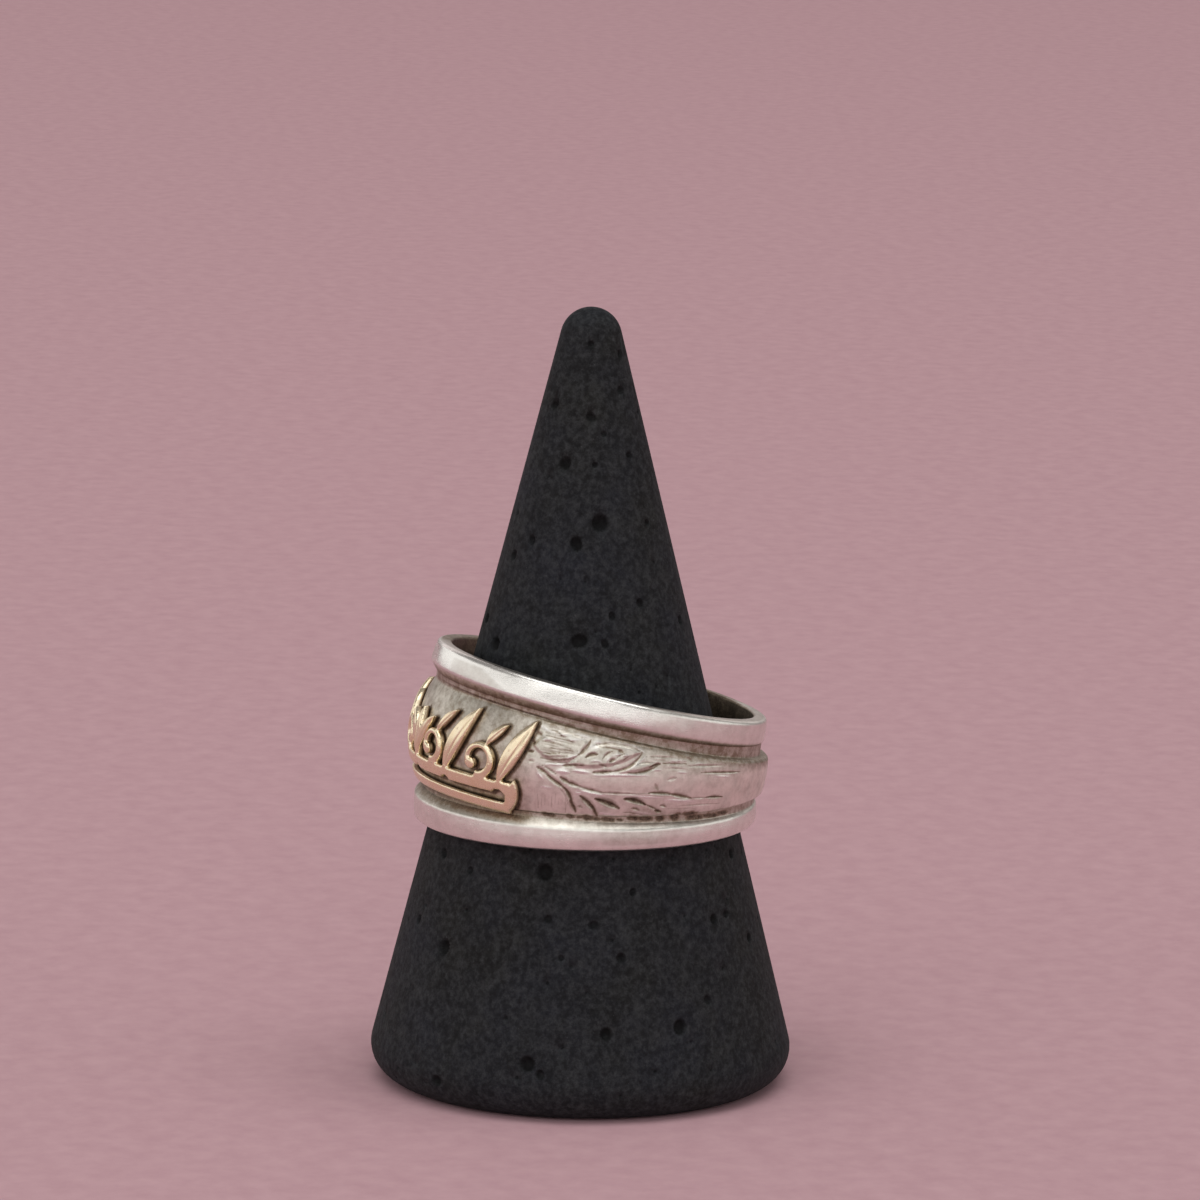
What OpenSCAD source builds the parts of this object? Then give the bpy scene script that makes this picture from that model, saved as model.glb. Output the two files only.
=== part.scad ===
// A wide finger ring with two rails, a carved strip and a raised scroll, resting on a round cone.
// Millimetres, +Z up, origin on the floor under the tip of the cone. The ring's front faces -Y.
// The band is widest at the front, and it leans back so that its lower edge lies level on the cone.

/* [Cone] */
// Height of the cone
cone_h = 50; // [40:1:60]
// Radius at which the straight wall would meet the floor
cone_r = 14.12; // [13.2:0.02:15]
// Radius of the rounded tip
tip_r = 1.97; // [1:0.01:3]
// Radius of the rounded foot
foot_r = 2.15; // [1:0.05:3]

/* [Band] */
// Inside diameter, the finger size
finger_d = 19.74; // [19.4:0.02:20]
// Half of the band's width, at the sides of the finger
band_half = 4.55; // [4.4:0.05:4.7]
// Slope of the band's edges, which makes the front wider than the back
band_slope = 6.8; // [6.4:0.1:7.2]
// Slope of the lower groove, which makes the lower rail wider at the front than at the back
low_slope = 5.4; // [5.2:0.1:6]
// Radius of the two flat rails
rail_r = 10.97; // [10.85:0.01:11.1]
// Width of the upper rail's flat face
rail_w = 1.42; // [1.2:0.02:1.5]
// Width of the lower rail's flat face, at the sides of the finger
low_rail_w = 1.36; // [1.3:0.02:1.42]
// Width of the slope from a rail's face down to its groove
rail_side = 0.4; // [0.2:0.02:0.44]
// Rounding of a rail's outer corner
rail_round = 0.3; // [0.1:0.05:0.4]
// Radius of the floor of the grooves
groove_r = 10.6; // [10.4:0.05:10.65]
// Width of the upper groove, from the rail's face to the crowned strip
groove_w = 0.94; // [0.8:0.02:1]
// Width of the lower groove
low_groove_w = 0.84; // [0.78:0.02:0.9]
// Radius of the strip's crown at the sides of the finger
crown_r = 11.35; // [11.25:0.01:11.45]
// Radius of the arc that crowns the strip from edge to edge
crown_arc_r = 6.5; // [6:0.1:7]
// How much higher the crown is at the front than at the sides
crown_shift = 0.15; // [0.05:0.01:0.2]

/* [Carving] */
// Height of the raised leaves
leaf_rise = 0.14; // [0.08:0.01:0.25]
// Height of the raised stems
stem_rise = 0.1; // [0.06:0.01:0.2]

/* [Scroll] */
// Thickness of the raised scroll
scroll_t = 0.5; // [0.4:0.05:0.6]
// Gap between the scroll and the band
scroll_gap = 0.02; // [0.01:0.01:0.05]
// Angle from the front to each end of the scroll's base and ribbon
scroll_end = 45.6; // [44.4:0.2:46.4]
// Height of the base from which the leaves and curls rise
base_w = 0.8; // [0.7:0.02:0.86]
// Height of the ribbon below them
ribbon_w = 0.68; // [0.5:0.02:0.7]
// Slope of the ribbon, which arches up a little at the front
ribbon_slope = 2; // [1.6:0.1:2.4]

/* [Seat] */
// Gap between the band's lower edge and the cone
seat_gap = 0.03; // [0.01:0.01:0.05]

/* [Hidden] */
$fn = 96;
big = 40;
bore_r = finger_d / 2;
// How far flat outlines reach to each side of the band's surface before they are trimmed to it
stock_depth = 1.1;
// Height of the strip's edges over and under the middle, at the sides of the finger
strip_top = band_half - rail_w - groove_w;
strip_low = band_half - low_rail_w - low_groove_w;
// How far the ribbon stays over the slope of the lower rail
ribbon_clear = 0.13;
// How far the rails' sides run on below the floor of the grooves
rail_sink = 0.25;
// Inside radius of the rails before the bore is cut, and their depth before their sides are cut
rail_inner = bore_r - 0.4;
rail_depth = 3;
// Half of the sleeve's width under the rails, at the sides of the finger
core_half = band_half - rail_w / 2;

// The cone's wall is tangent to the tip's sphere and passes through the floor at cone_r
tip_z = cone_h - tip_r;
wall_angle = acos(tip_r / sqrt(cone_r * cone_r + tip_z * tip_z)) - atan2(tip_z, cone_r);
wall_tan = tan(wall_angle);
// The foot's circle touches both the floor and the wall
foot_x = cone_r - foot_r * (1 + sin(wall_angle)) / cos(wall_angle);

// The ring leans by its edge slope, so its lower edge is level where the cone fills the bore
lean = band_slope;
seat_z = (cone_r - bore_r + seat_gap) / wall_tan;
// A leaning bore is longer from front to back, and the ring slides forward by that much
seat_play = bore_r / cos(lean) - bore_r;
ring_y = band_half * sin(lean) + seat_play;
ring_z = seat_z + band_half * cos(lean);

// Raised leaves on one side of the band: places, sizes and bulges of the two edges, in degrees and mm
LEAVES = [
    // angle, h, length, upper bulge, lower bulge, turn, rise
    [60.7, 1.57, 3.85, 0.95, 1.00, 7, leaf_rise],
    [75.0, 1.12, 4.90, 0.95, 0.45, 16, leaf_rise],
    [86.0, 0.75, 2.90, 0.38, 0.20, 17, leaf_rise],
    [87.0, -0.85, 6.60, 0.12, 0.12, 1, stem_rise],
    [71.3, -1.75, 1.20, 0.20, 0.14, -47, stem_rise],
    [77.2, -1.64, 1.70, 0.22, 0.14, -20, stem_rise],
    [86.2, -1.36, 1.80, 0.22, 0.12, -10, stem_rise]
];
// Raised stems on one side of the band, each an arc
STEMS = [
    // angle and h of its centre, radius, first and last direction, width
    [50.2, -3.25, 3.38, 17, 80, 0.30],
    [70.3, 1.82, 2.75, 229, 272, 0.22]
];
// A row of small dents notches the strip's lower edge on each side
dent_first = 57.4;
dent_step = 3.6;
dent_count = 17;
dent_r = 0.21;

// The scroll's upright leaf at the front, and its leaves on one side
FRONT_LANCE = [0, 0.12, 3.5, 0.50, 0.50, 0];
LANCES = [
    // angle, h, length, left bulge, right bulge, turn
    [4.9, 0.30, 3.0, 0.62, 0.20, -34],
    [24.0, 0.62, 5.1, 0.75, 0.42, -26],
    [46.2, 0.62, 4.9, 0.70, 0.42, -25],
    [16.6, 1.55, 2.2, 0.42, 0.15, -40],
    [39.0, 1.50, 2.0, 0.42, 0.15, -40],
    [45.7, -2.20, 2.4, 0.30, 0.52, -14]
];
// The scroll's curls on one side
CURLS = [
    // angle, h, outer radius, inner radius
    [11.6, -0.25, 1.12, 0.70],
    [34.0, -0.25, 1.15, 0.72]
];
// Directions between which a curl is open
CURL_GAP = [205, 252];
// Radius of the bead that ends a curl
curl_bead_r = 0.36;
// Height of the middle of the base
base_h = -1.68;
// Height of the lower rail's edge and of the ribbon's lower edge, at the angle where the ribbon ends
low_edge = low_rail_w - band_half - groove_r * tan(low_slope) * cos(scroll_end);
ribbon_edge = low_edge + rail_side + ribbon_clear;
// Height of the ribbon's middle at the sides of the finger
ribbon_h = ribbon_edge + ribbon_w / 2 - groove_r * tan(ribbon_slope) * cos(scroll_end);
// Angles at which the base's lower edge is scalloped, and the scallops' radius and height
SCALLOPS = [-41.5, -19, 0, 19, 41.5];
scallop_r = 0.55;
scallop_h = -2.41;

// Radius of the crowned strip at an angle from the front and a height above the band's middle
function strip_r(angle, h) =
    crown_r + crown_shift * cos(angle) - crown_arc_r + sqrt(crown_arc_r * crown_arc_r - h * h);

// Everything below a plane that is this high at the sides and slopes up to the front
module below(height, slope) {
    translate([0, 0, height])
        rotate([-slope, 0, 0])
            translate([-big, -big, -2 * big])
                cube(2 * big);
}

// Everything between two such planes, which draw together towards the back
module between(over, over_slope, under, under_slope) {
    intersection() {
        below(over, over_slope);
        mirror([0, 0, 1])
            below(under, under_slope);
    }
}

// The crowned surface, grown outward by a margin
module crowned(grow) {
    translate([0, -crown_shift, 0])
        rotate_extrude()
            intersection() {
                translate([crown_r - crown_arc_r, 0])
                    circle(r = crown_arc_r + grow);
                translate([crown_r - crown_arc_r + 1, -crown_arc_r])
                    square([crown_arc_r + 1, 2 * crown_arc_r]);
            }
}

// What follows is drawn flat, then stands through the band's surface at an angle from its front
module out_at(angle, h) {
    rotate([0, 0, angle - 90])
        translate([crown_r - stock_depth, 0, h])
            rotate([90, 0, 90])
                linear_extrude(2 * stock_depth)
                    children();
}

// A pointed leaf along X, where two circles overlap: each bulges past the line between the tips
module leaf_outline(length, upper, lower) {
    r_upper = (length * length / 4 + upper * upper) / (2 * upper);
    r_lower = (length * length / 4 + lower * lower) / (2 * lower);
    intersection() {
        translate([0, upper - r_upper])
            circle(r = r_upper);
        translate([0, r_lower - lower])
            circle(r = r_lower);
    }
}

// Part of a flat ring, between two directions less than 180 degrees apart
module arc_outline(radius, width, from, to) {
    reach = 4 * radius;
    middle = (from + to) / 2;
    intersection() {
        difference() {
            circle(r = radius + width / 2);
            circle(r = radius - width / 2);
        }
        polygon([[0, 0], reach * [cos(from), sin(from)], reach * [cos(middle), sin(middle)],
                 reach * [cos(to), sin(to)]]);
    }
}

module both_sides() {
    children();
    mirror([1, 0, 0])
        children();
}

// A flat ring along the sloping upper edge, rounded outside
module rail_ring() {
    shoulder = rail_r - rail_round;
    translate([0, 0, band_half])
        rotate([-band_slope, 0, 0])
            rotate_extrude() {
                polygon([[rail_inner, 0], [shoulder, 0], [shoulder, -rail_round], [rail_r, -rail_round],
                         [rail_r, -rail_depth], [rail_inner, -rail_depth]]);
                translate([shoulder, -rail_round])
                    circle(r = rail_round);
            }
}

// The space that the ring fills: its underside slopes from the rail's face down to the groove
module rail_space(width, slope) {
    side_tan = rail_side / (rail_r - groove_r);
    foot_r = groove_r - rail_sink;
    reach = rail_r + rail_depth;
    translate([0, 0, band_half])
        rotate([-slope, 0, 0])
            translate([0, 0, -width])
                rotate_extrude()
                    polygon([[0, -side_tan * (rail_r - foot_r)], [foot_r, -side_tan * (rail_r - foot_r)],
                             [reach, side_tan * rail_depth], [reach, big], [0, big]]);
}

module rail(width, slope) {
    intersection() {
        rail_ring();
        rail_space(width, slope);
    }
}

module rails() {
    rail(rail_w, band_slope);
    mirror([0, 0, 1])
        rail(low_rail_w, low_slope);
}

module carving() {
    both_sides() {
        for (row = LEAVES)
            intersection() {
                crowned(row[6]);
                out_at(row[0], row[1])
                    rotate(row[5])
                        leaf_outline(row[2], row[3], row[4]);
            }
        for (row = STEMS)
            intersection() {
                crowned(stem_rise);
                out_at(row[0], row[1])
                    arc_outline(row[2], row[5], row[3], row[4]);
            }
    }
}

module dents() {
    both_sides()
        for (k = [0:dent_count - 1]) {
            angle = dent_first + k * dent_step;
            edge = strip_low + crown_r * tan(low_slope) * cos(angle);
            rotate([0, 0, angle - 90])
                translate([strip_r(angle, edge), 0, -edge])
                    sphere(r = dent_r);
        }
}

module silver_band() {
    color([0.76, 0.74, 0.73])
        seated()
            difference() {
                union() {
                    intersection() {
                        cylinder(r = groove_r, h = big, center = true);
                        between(core_half, band_slope, core_half, band_slope);
                    }
                    rails();
                    difference() {
                        intersection() {
                            union() {
                                crowned(0);
                                carving();
                            }
                            between(strip_top, band_slope, strip_low, low_slope);
                        }
                        dents();
                    }
                }
                cylinder(r = bore_r, h = big, center = true);
            }
}

// An open curl that ends in a bead
module curl_outline(outer, inner) {
    reach = 2 * outer;
    bead_at = (outer + inner) / 2 - 0.2;
    difference() {
        circle(r = outer);
        translate([-0.06, 0.04])
            circle(r = inner);
        polygon([[0, 0], reach * [cos(CURL_GAP[0]), sin(CURL_GAP[0])],
                 reach * [cos(CURL_GAP[1]), sin(CURL_GAP[1])]]);
    }
    translate(bead_at * [cos(CURL_GAP[0]), sin(CURL_GAP[0])])
        circle(r = curl_bead_r);
}

// The space within an angle to each side of the front
module front_sector(angle) {
    translate([0, 0, -big / 2])
        linear_extrude(big)
            polygon([[0, 0], big * [-sin(angle), -cos(angle)], [0, -big], big * [sin(angle), -cos(angle)]]);
}

module scroll_base() {
    difference() {
        intersection() {
            translate([-big / 2, -big, base_h - base_w / 2])
                cube([big, big, base_w]);
            front_sector(scroll_end);
        }
        for (angle = SCALLOPS)
            out_at(angle, scallop_h)
                circle(r = scallop_r);
    }
}

module scroll_ribbon() {
    intersection() {
        translate([0, 0, ribbon_h])
            rotate([-ribbon_slope, 0, 0])
                translate([-big / 2, -big, -ribbon_w / 2])
                    cube([big, big, ribbon_w]);
        front_sector(scroll_end);
    }
}

module lance(row) {
    out_at(row[0], row[1])
        rotate(90 + row[5])
            leaf_outline(row[2], row[3], row[4]);
}

module scroll_leaves() {
    lance(FRONT_LANCE);
    both_sides()
        for (row = LANCES)
            lance(row);
}

module scroll_curls() {
    both_sides()
        for (row = CURLS)
            out_at(row[0], row[1])
                curl_outline(row[2], row[3]);
}

module gold_scroll() {
    color([0.89, 0.74, 0.55])
        seated()
            difference() {
                intersection() {
                    crowned(scroll_t);
                    union() {
                        scroll_base();
                        scroll_ribbon();
                        scroll_leaves();
                        scroll_curls();
                    }
                }
                crowned(scroll_gap);
                cylinder(r = groove_r + scroll_gap, h = big, center = true);
            }
}

module seated() {
    translate([0, ring_y, ring_z])
        rotate([-lean, 0, 0])
            children();
}

module cone_stand() {
    tip_side = tip_r * [cos(wall_angle), sin(wall_angle)];
    foot_side = foot_r * [cos(wall_angle), sin(wall_angle)];
    color([0.17, 0.17, 0.19])
        rotate_extrude()
            intersection() {
                union() {
                    translate([0, tip_z])
                        circle(r = tip_r);
                    translate([foot_x, foot_r])
                        circle(r = foot_r);
                    polygon([[0, 0], [foot_x, 0], [foot_x, foot_r] + foot_side,
                             [0, tip_z] + tip_side, [0, tip_z]]);
                }
                square([big, cone_h]);
            }
}

silver_band();
gold_scroll();
cone_stand();
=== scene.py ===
"""A wide silver ring with a gold scroll, on a dark stone cone.

The row is in metres. The ring is shaped in its own frame in mm, by angle from its front, height and radius.
"""
import math
import bpy
import numpy as np
from mathutils import Matrix, Vector
from mathutils.geometry import delaunay_2d_cdt
from mathutils.kdtree import KDTree


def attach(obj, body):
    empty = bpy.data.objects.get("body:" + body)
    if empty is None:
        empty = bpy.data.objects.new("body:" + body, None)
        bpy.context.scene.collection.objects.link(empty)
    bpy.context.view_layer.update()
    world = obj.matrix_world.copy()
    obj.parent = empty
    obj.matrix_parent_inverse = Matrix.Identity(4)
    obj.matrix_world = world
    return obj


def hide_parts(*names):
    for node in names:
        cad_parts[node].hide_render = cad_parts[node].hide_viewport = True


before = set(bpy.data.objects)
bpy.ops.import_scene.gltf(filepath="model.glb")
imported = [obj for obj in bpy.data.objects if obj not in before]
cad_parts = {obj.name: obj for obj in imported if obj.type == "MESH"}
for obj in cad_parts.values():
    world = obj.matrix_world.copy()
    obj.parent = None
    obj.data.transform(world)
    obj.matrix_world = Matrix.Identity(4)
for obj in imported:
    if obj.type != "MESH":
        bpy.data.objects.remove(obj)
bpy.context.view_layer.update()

MM = 0.001
TAU = 2 * math.pi

# Sizes of the solids, in mm and degrees
CONE_H, CONE_R, TIP_R, FOOT_R = 50.0, 14.12, 1.97, 2.15
BORE_R, BAND_HALF, BAND_SLOPE, LOW_SLOPE = 9.87, 4.55, 6.8, 5.4
RAIL_R, RAIL_W, LOW_RAIL_W, RAIL_SIDE, RAIL_ROUND = 10.97, 1.42, 1.36, 0.4, 0.3
GROOVE_R, GROOVE_W, LOW_GROOVE_W = 10.6, 0.94, 0.84
CROWN_R, CROWN_ARC_R, CROWN_SHIFT = 11.35, 6.5, 0.15
SCROLL_T, SCROLL_GAP, SEAT_GAP = 0.5, 0.02, 0.03
STRIP_TOP = BAND_HALF - RAIL_W - GROOVE_W
STRIP_LOW = BAND_HALF - LOW_RAIL_W - LOW_GROOVE_W
LEAN, LOW_LEAN = math.radians(BAND_SLOPE), math.radians(LOW_SLOPE)
SLOPE_TAN, LOW_TAN = math.tan(LEAN), math.tan(LOW_LEAN)
SIDE_TAN = RAIL_SIDE / (RAIL_R - GROOVE_R)
TIP_Z = CONE_H - TIP_R
WALL_ANGLE = math.acos(TIP_R / math.hypot(CONE_R, TIP_Z)) - math.atan2(TIP_Z, CONE_R)
WALL_TAN = math.tan(WALL_ANGLE)
SEAT_Z = (CONE_R - BORE_R + SEAT_GAP) / WALL_TAN
RING_Y = BAND_HALF * math.sin(LEAN) + BORE_R / math.cos(LEAN) - BORE_R
RING_Z = SEAT_Z + BAND_HALF * math.cos(LEAN)
DEG_MM = math.radians(1) * 11.4   # a degree along the strip, in mm
FAR_OFF = 9.0                     # farther than any stroke's reach, in mm

# The camera, from the photograph
VIEW_AZIMUTH, VIEW_ELEVATION, VIEW_ROLL = math.radians(72), math.radians(10.11), math.radians(0.905)
VIEW_DISTANCE, VIEW_LENS = 450.0, 211.4
LOOK_RIGHT, LOOK_Z = 0.82, 31.13
FRAME_PX = 1200


# Frames

def seated(points):
    """Ring coordinates in mm to the row's metres."""
    x, y, z = np.asarray(points).T
    c, s = math.cos(LEAN), math.sin(LEAN)
    return np.stack([x, y * c + z * s + RING_Y, -y * s + z * c + RING_Z], 1) * MM


def unseated(points):
    """The row's metres to ring coordinates in mm."""
    x, y, z = np.asarray(points).T / MM
    y, z = y - RING_Y, z - RING_Z
    c, s = math.cos(LEAN), math.sin(LEAN)
    return np.stack([x, y * c - z * s, y * s + z * c], 1)


def camera_axes():
    """The camera's right, up and back directions and its place in mm."""
    ca, sa = math.cos(VIEW_AZIMUTH), math.sin(VIEW_AZIMUTH)
    ce, se = math.cos(VIEW_ELEVATION), math.sin(VIEW_ELEVATION)
    right = np.array([ca, sa, 0.0])
    up = np.array([-sa * se, ca * se, ce])
    back = np.array([sa * ce, -ca * ce, se])
    c, s = math.cos(VIEW_ROLL), math.sin(VIEW_ROLL)
    place = right * LOOK_RIGHT + np.array([0, 0, LOOK_Z]) + back * VIEW_DISTANCE
    return right * c + up * s, up * c - right * s, back, place


def strip_r(phi, h):
    """Radius of the crowned strip."""
    return CROWN_R + CROWN_SHIFT * np.cos(phi) - CROWN_ARC_R + np.sqrt(CROWN_ARC_R ** 2 - h * h)


def smooth(x, low, high):
    t = np.clip((x - low) / (high - low), 0, 1)
    return t * t * (3 - 2 * t)


# Mesh helpers

def mesh_object(name, verts, faces, replaces, attributes=None):
    mesh = bpy.data.meshes.new(name)
    mesh.from_pydata([tuple(v) for v in verts], [], [tuple(int(i) for i in f) for f in faces])
    for key, values in (attributes or {}).items():
        layer = mesh.attributes.new(key, "FLOAT", "POINT")
        layer.data.foreach_set("value", np.asarray(values, dtype=np.float32))
    mesh.validate()
    mesh.shade_smooth()
    obj = bpy.data.objects.new(name, mesh)
    bpy.context.scene.collection.objects.link(obj)
    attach(obj, "root")
    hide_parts(replaces)
    return obj


def grid_faces(rows, cols):
    """Quads of a grid that closes on itself both ways."""
    r, c = np.meshgrid(np.arange(rows), np.arange(cols), indexing="ij")
    r2, c2 = (r + 1) % rows, (c + 1) % cols
    return np.stack([r * cols + c, r2 * cols + c, r2 * cols + c2, r * cols + c2], -1).reshape(-1, 4)


# The band

# Raised leaves on the strip: angle, h, length, upper bulge, lower bulge, turn, rise
LEAVES = [
    (60.7, 1.57, 3.85, 0.95, 1.00, 7, 0.09),
    (75.0, 1.12, 4.90, 0.95, 0.45, 16, 0.14),
    (86.0, 0.75, 2.90, 0.38, 0.20, 17, 0.10),
    (87.0, -0.85, 6.60, 0.12, 0.12, 1, 0.05),
]
# Engraved strokes: angle and h of both ends, sideways bow, width, widest place, depth, darkness
STROKES = [
    # the middle leaf: its outlines, the notch at its root and its veins
    (71.0, 1.90, 87.0, 1.76, 0.30, 0.17, 0.5, 0.08, 0.50),
    (77.0, 0.42, 86.8, 1.76, -0.34, 0.21, 0.5, 0.10, 0.62),
    (61.6, 0.34, 69.0, 0.60, 0.05, 0.20, 0.25, 0.10, 0.72),
    (71.2, 0.22, 78.2, 0.45, -0.03, 0.20, 0.5, 0.10, 0.74),
    (66.2, 1.18, 69.6, 2.18, -0.10, 0.34, 0.5, 0.12, 0.66),
    (68.5, 1.06, 72.6, 1.38, 0.10, 0.28, 0.5, 0.12, 0.80),
    (72.2, 1.84, 80.2, 1.80, 0.04, 0.14, 0.4, 0.07, 0.58),
    (78.6, 1.78, 80.4, 1.68, 0.0, 0.22, 0.5, 0.09, 0.62),
    (74.1, 1.16, 77.0, 1.68, 0.07, 0.17, 0.4, 0.08, 0.62),
    (76.2, 1.00, 78.4, 1.20, 0.04, 0.26, 0.5, 0.11, 0.70),
    (78.4, 1.28, 81.2, 1.62, 0.05, 0.12, 0.5, 0.06, 0.60),
    (80.6, 1.16, 83.4, 1.58, 0.05, 0.11, 0.5, 0.05, 0.55),
    (72.8, 0.76, 75.8, 0.66, 0.03, 0.15, 0.5, 0.07, 0.70),
    (77.4, 0.78, 80.2, 0.96, 0.03, 0.11, 0.5, 0.05, 0.55),
    # the small leaf behind it
    (81.6, 0.44, 92.6, 1.06, -0.20, 0.17, 0.6, 0.08, 0.70),
    (84.6, 0.98, 92.4, 1.14, 0.10, 0.12, 0.6, 0.06, 0.50),
    (89.4, 0.90, 93.4, 1.13, 0.03, 0.26, 0.6, 0.10, 0.78),
    # the curved stem, a double line
    (53.4, 0.06, 58.4, -0.42, 0.02, 0.22, 0.4, 0.09, 0.70),
    (56.0, -0.18, 63.4, -1.02, -0.04, 0.26, 0.6, 0.11, 0.74),
    (55.2, 0.20, 60.6, -0.26, 0.02, 0.12, 0.5, 0.06, 0.55),
    (62.4, -0.90, 66.2, -2.02, 0.14, 0.28, 0.5, 0.12, 0.84),
    (65.2, -1.72, 67.8, -2.55, 0.03, 0.29, 0.5, 0.12, 0.84),
    (61.0, -0.98, 65.0, -2.10, 0.14, 0.10, 0.5, 0.05, 0.45),
    # the long stem
    (61.4, -0.34, 64.6, -0.62, -0.02, 0.26, 0.5, 0.11, 0.80),
    (63.8, -0.58, 68.2, -0.76, -0.03, 0.28, 0.4, 0.11, 0.72),
    (66.6, -0.72, 76.5, -0.98, -0.06, 0.20, 0.4, 0.09, 0.60),
    (74.0, -0.97, 91.5, -0.76, -0.04, 0.13, 0.3, 0.07, 0.42),
    (90.2, -0.74, 99.4, -0.74, 0.05, 0.22, 0.5, 0.10, 0.74),
    (97.0, -0.73, 106.6, -0.98, 0.04, 0.24, 0.5, 0.10, 0.76),
    (105.0, -0.94, 113.0, -0.90, -0.02, 0.10, 0.5, 0.05, 0.50),
    (111.6, -0.90, 120.0, -0.90, 0.01, 0.17, 0.5, 0.08, 0.80),
    # the barbs below it
    (68.2, -1.34, 74.2, -2.30, 0.06, 0.35, 0.55, 0.14, 0.92),
    (73.0, -2.08, 75.0, -2.62, 0.0, 0.24, 0.5, 0.10, 0.85),
    (73.0, -1.44, 81.8, -1.92, 0.06, 0.41, 0.6, 0.14, 0.94),
    (82.3, -1.26, 90.4, -1.54, 0.10, 0.35, 0.5, 0.14, 0.92),
    (89.6, -1.48, 96.0, -1.94, 0.02, 0.15, 0.5, 0.07, 0.75),
    (93.6, -1.86, 96.2, -1.96, 0.02, 0.26, 0.5, 0.10, 0.90),
    (85.4, -1.82, 88.4, -1.90, 0.02, 0.22, 0.5, 0.07, 0.60),
    (95.0, -1.50, 97.4, -1.58, 0.02, 0.20, 0.5, 0.07, 0.60),
    (68.2, -2.06, 69.6, -2.12, 0.0, 0.20, 0.5, 0.06, 0.55),
    (82.0, -2.14, 90.0, -2.18, 0.02, 0.10, 0.5, 0.05, 0.50),
    # short cuts beside the scroll
    (51.2, 2.12, 53.8, 2.04, 0.0, 0.20, 0.5, 0.09, 0.66),
    (50.4, 1.52, 52.0, 1.48, 0.0, 0.24, 0.5, 0.09, 0.62),
    (49.4, 0.92, 52.2, 0.94, 0.0, 0.18, 0.5, 0.08, 0.85),
    (50.0, 0.30, 52.6, 0.36, 0.0, 0.12, 0.5, 0.05, 0.50),
    # long lines towards the back
    (93.5, 1.18, 103.0, 1.22, 0.01, 0.11, 0.5, 0.05, 0.60),
    (102.0, 1.08, 119.0, 1.12, 0.02, 0.10, 0.5, 0.05, 0.50),
    (95.0, 0.90, 103.0, 0.86, 0.02, 0.08, 0.5, 0.03, 0.35),
    (108.5, 0.70, 128.0, 0.62, 0.02, 0.15, 0.5, 0.07, 0.70),
    (102.4, 1.66, 105.0, 1.34, 0.0, 0.16, 0.5, 0.05, 0.50),
    (88.0, 1.52, 100.0, 1.56, 0.02, 0.10, 0.5, 0.04, 0.45),
    (90.0, 1.34, 96.0, 1.36, 0.01, 0.08, 0.5, 0.03, 0.35),
    (99.0, -1.52, 121.0, -1.34, 0.04, 0.09, 0.5, 0.04, 0.40),
    (97.0, -1.70, 110.0, -1.66, 0.02, 0.08, 0.5, 0.03, 0.35),
    (92.0, -0.10, 93.6, -0.56, 0.0, 0.30, 0.5, 0.03, 0.40),
    (96.0, 0.16, 99.4, 0.34, 0.0, 0.22, 0.5, 0.03, 0.30),
]
# Painted highlights along cuts, whose edges are also burnished and raised a little: angle and h of both
# ends, bow, width
GLINTS = [
    (50.8, 2.66, 56.0, 2.32, 0.02, 0.20),
    (55.0, 2.33, 63.4, 2.32, -0.04, 0.18),
    (59.0, 1.90, 67.4, 2.20, -0.02, 0.20),
    (54.2, 1.84, 59.0, 1.90, 0.02, 0.12),
    (62.0, 0.66, 68.6, 1.50, 0.06, 0.18),
    (69.0, 1.62, 72.4, 1.72, 0.14, 0.34),
    (70.6, 2.10, 73.4, 2.14, 0.0, 0.18),
    (74.4, 2.04, 83.6, 2.18, 0.05, 0.14),
    (83.0, 2.18, 87.6, 1.76, 0.03, 0.18),
    (56.4, 0.34, 62.2, 0.46, 0.0, 0.14),
    (59.8, 0.00, 64.4, 0.00, 0.02, 0.26),
    (64.6, 0.18, 71.0, 0.16, 0.02, 0.14),
    (76.4, 1.44, 83.4, 1.50, 0.05, 0.13),
    (80.0, 0.52, 88.2, 1.62, -0.16, 0.18),
    (71.4, 0.02, 90.0, 0.36, 0.06, 0.13),
    (53.8, -0.26, 56.4, -0.74, 0.0, 0.14),
    (55.6, -1.16, 60.6, -1.10, 0.0, 0.08),
    (66.8, -1.02, 78.0, -1.22, -0.03, 0.12),
    (82.4, -1.06, 96.0, -1.00, 0.02, 0.14),
    (96.0, -1.14, 108.0, -1.16, 0.02, 0.12),
    (86.0, -2.06, 92.6, -2.12, 0.0, 0.12),
    (95.4, 1.40, 104.0, 1.44, 0.0, 0.05),
    (106.2, 1.26, 109.2, 1.26, 0.0, 0.06),
    (90.6, 0.74, 94.0, 0.80, 0.0, 0.08),
    (99.4, 0.70, 103.6, 0.68, 0.0, 0.06),
    (112.0, 0.44, 124.0, 0.40, 0.0, 0.05),
    (64.4, 2.42, 69.8, 2.26, 0.04, 0.12),
    (75.2, 0.98, 76.6, 1.36, 0.0, 0.10),
    (70.2, 0.92, 74.2, 1.00, 0.03, 0.12),
    (66.0, -1.20, 69.0, -1.24, 0.0, 0.10),
    (75.0, -2.34, 81.0, -2.40, 0.0, 0.10),
]
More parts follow.
